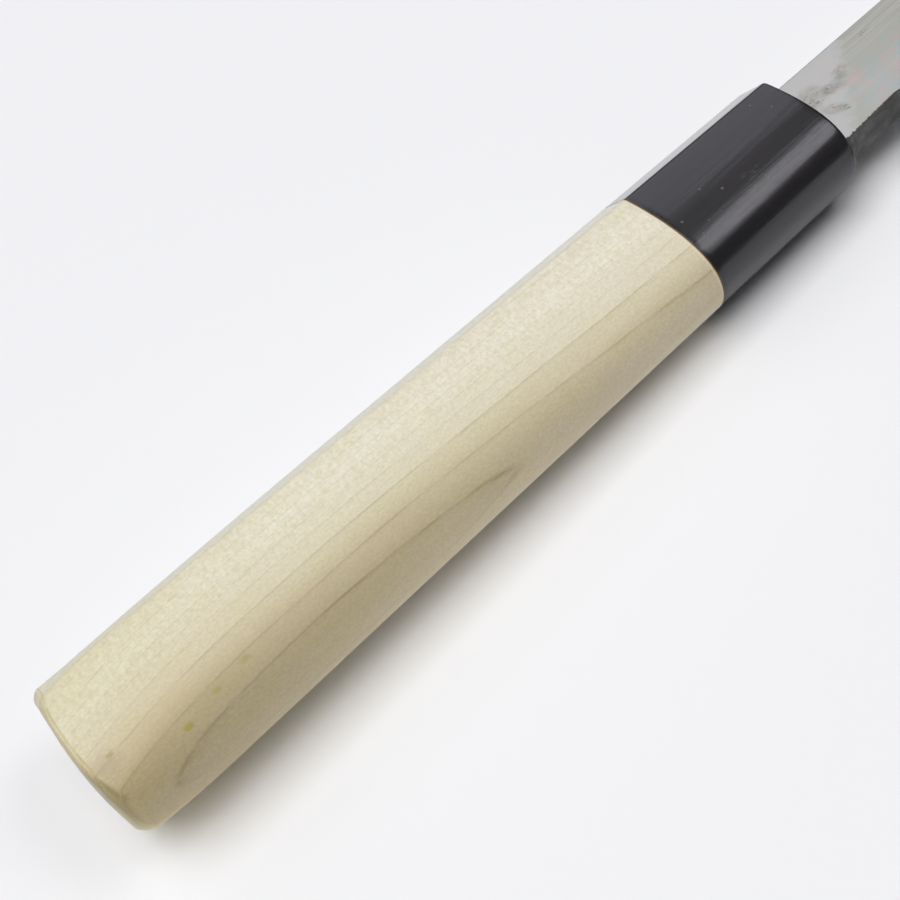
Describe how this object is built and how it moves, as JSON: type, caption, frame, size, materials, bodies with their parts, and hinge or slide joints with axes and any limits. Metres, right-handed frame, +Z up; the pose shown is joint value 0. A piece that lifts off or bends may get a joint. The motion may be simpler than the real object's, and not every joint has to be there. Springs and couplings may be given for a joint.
{
  "type": "usuba knife",
  "caption": "Single-bevel vegetable knife with a tall square-ended blade, hollow-ground back, black horn ferrule and pale D-section wooden handle, lying flat.",
  "frame": {"origin": "on the table under the middle of the knife's bounding box", "axes": "+X along the knife towards the tip, +Y towards the spine, +Z up out of the bevelled (omote) face; the knife lies nose down by 1.7 degrees on its ferrule and tip, as it rests on a table"},
  "size_m": [0.328, 0.0522, 0.0211],
  "materials": {
    "iron": "brushed along the length, dark forge scale under the neck",
    "steel": "fine polish",
    "wood": "bare sanded magnolia, unvarnished",
    "horn": "polished black horn"
  },
  "bodies": {
    "root": {"blade_body": "iron", "cutting_steel": "steel", "wood_handle": "wood", "horn_ferrule": "horn"}
  },
  "joints": []
}
